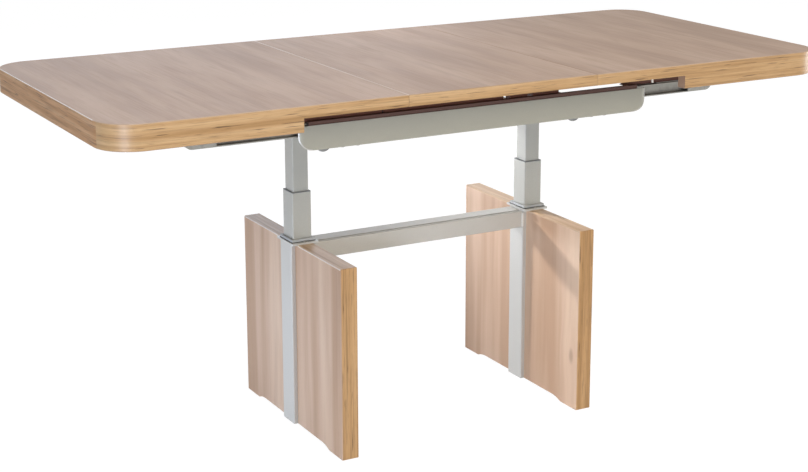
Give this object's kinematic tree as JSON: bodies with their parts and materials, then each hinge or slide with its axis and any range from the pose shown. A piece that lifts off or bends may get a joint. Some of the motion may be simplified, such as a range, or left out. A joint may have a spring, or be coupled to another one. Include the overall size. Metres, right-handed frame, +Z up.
{
  "type": "convertible coffee dining table",
  "caption": "Extending wood-grain table on two telescopic columns: leaves slide apart, a middle insert rises between them, and the whole top lifts from coffee to dining height.",
  "frame": {"origin": "on the floor, under the middle of the table", "axes": "+X along the table towards the right-hand leaf, +Y towards the rear long side, +Z up"},
  "size_m": [1.583, 0.7, 0.75],
  "materials": {
    "oak_laminate": "satin oak-grain laminate with matching edging",
    "stained_wood": "dark stained hardwood",
    "silver_powder_coat": "silver-grey powder coat",
    "zinc_steel": "zinc-plated steel",
    "brown_steel": "dark brown paint",
    "black_steel": "black paint",
    "chromed_rod": "polished",
    "grey_plastic": "moulded",
    "nylon": "moulded",
    "black_rubber": "moulded"
  },
  "bodies": {
    "base": {"left_front_leg_panel": "oak_laminate", "left_rear_leg_panel": "oak_laminate", "right_front_leg_panel": "oak_laminate", "right_rear_leg_panel": "oak_laminate", "left_post": "silver_powder_coat", "right_post": "silver_powder_coat", "left_post_flange": "silver_powder_coat", "right_post_flange": "silver_powder_coat", "left_post_bush": "grey_plastic", "right_post_bush": "grey_plastic", "left_gas_cylinder": "black_steel", "right_gas_cylinder": "black_steel", "crossbar": "silver_powder_coat", "floor_glides": "grey_plastic", "flange_screws": "zinc_steel"},
    "lift_frame": {"left_upper_tube": "silver_powder_coat", "right_upper_tube": "silver_powder_coat", "left_gas_rod": "chromed_rod", "right_gas_rod": "chromed_rod", "left_column_head": "silver_powder_coat", "right_column_head": "silver_powder_coat", "left_end_tie": "silver_powder_coat", "right_end_tie": "silver_powder_coat", "left_insert_guide_bar": "zinc_steel", "right_insert_guide_bar": "zinc_steel", "front_rail": "silver_powder_coat", "rear_rail": "silver_powder_coat", "front_slide_channel": "brown_steel", "rear_slide_channel": "brown_steel", "front_slide_shoes": "nylon", "rear_slide_shoes": "nylon", "insert_guide_bushes": "nylon", "stop_buffers": "black_rubber", "release_shaft_brackets": "zinc_steel"},
    "left_mid_column": {"left_mid_tube": "silver_powder_coat", "left_mid_bush": "grey_plastic"},
    "left_leaf": {"left_leaf_board": "oak_laminate", "left_end_strip": "oak_laminate", "left_front_strip": "oak_laminate", "left_rear_strip": "oak_laminate", "left_front_batten": "stained_wood", "left_rear_batten": "stained_wood", "left_front_runner": "zinc_steel", "left_rear_runner": "zinc_steel"},
    "right_mid_column": {"right_mid_tube": "silver_powder_coat", "right_mid_bush": "grey_plastic"},
    "right_leaf": {"right_leaf_board": "oak_laminate", "right_end_strip": "oak_laminate", "right_front_strip": "oak_laminate", "right_rear_strip": "oak_laminate", "right_front_batten": "stained_wood", "right_rear_batten": "stained_wood", "right_front_runner": "zinc_steel", "right_rear_runner": "zinc_steel"},
    "insert": {"insert_board": "oak_laminate", "insert_cleats": "stained_wood", "insert_side_battens": "stained_wood", "insert_guide_pins": "zinc_steel"},
    "release": {"release_shaft": "zinc_steel", "release_handle": "grey_plastic"}
  },
  "joints": [
    {"name": "height_lift", "type": "slide", "parent": "base", "child": "lift_frame", "axis": [0, 0, 1], "range_m": [-0.215, 0]},
    {"name": "left_mid_lift", "type": "slide", "parent": "base", "child": "left_mid_column", "axis": [0, 0, 1], "range_m": [-0.086, 0]},
    {"name": "right_mid_lift", "type": "slide", "parent": "base", "child": "right_mid_column", "axis": [0, 0, 1], "range_m": [-0.086, 0]},
    {"name": "left_leaf_slide", "type": "slide", "parent": "lift_frame", "child": "left_leaf", "axis": [-1, 0, 0], "range_m": [0, 0.03]},
    {"name": "right_leaf_slide", "type": "slide", "parent": "lift_frame", "child": "right_leaf", "axis": [1, 0, 0], "range_m": [0, 0.03]},
    {"name": "insert_lift", "type": "slide", "parent": "lift_frame", "child": "insert", "axis": [0, 0, 1], "range_m": [-0.024, 0]},
    {"name": "release_turn", "type": "hinge", "parent": "lift_frame", "child": "release", "pos_m": [0, -0.03, 0.668], "axis": [-1, 0, 0], "range_deg": [0, 8], "stiffness_Nm_per_rad": 5, "springref_deg": -5.73}
  ],
  "couplings": [
    {"joint": "left_mid_lift", "follows": "height_lift", "ratio": 0.4},
    {"joint": "right_mid_lift", "follows": "height_lift", "ratio": 0.4}
  ]
}
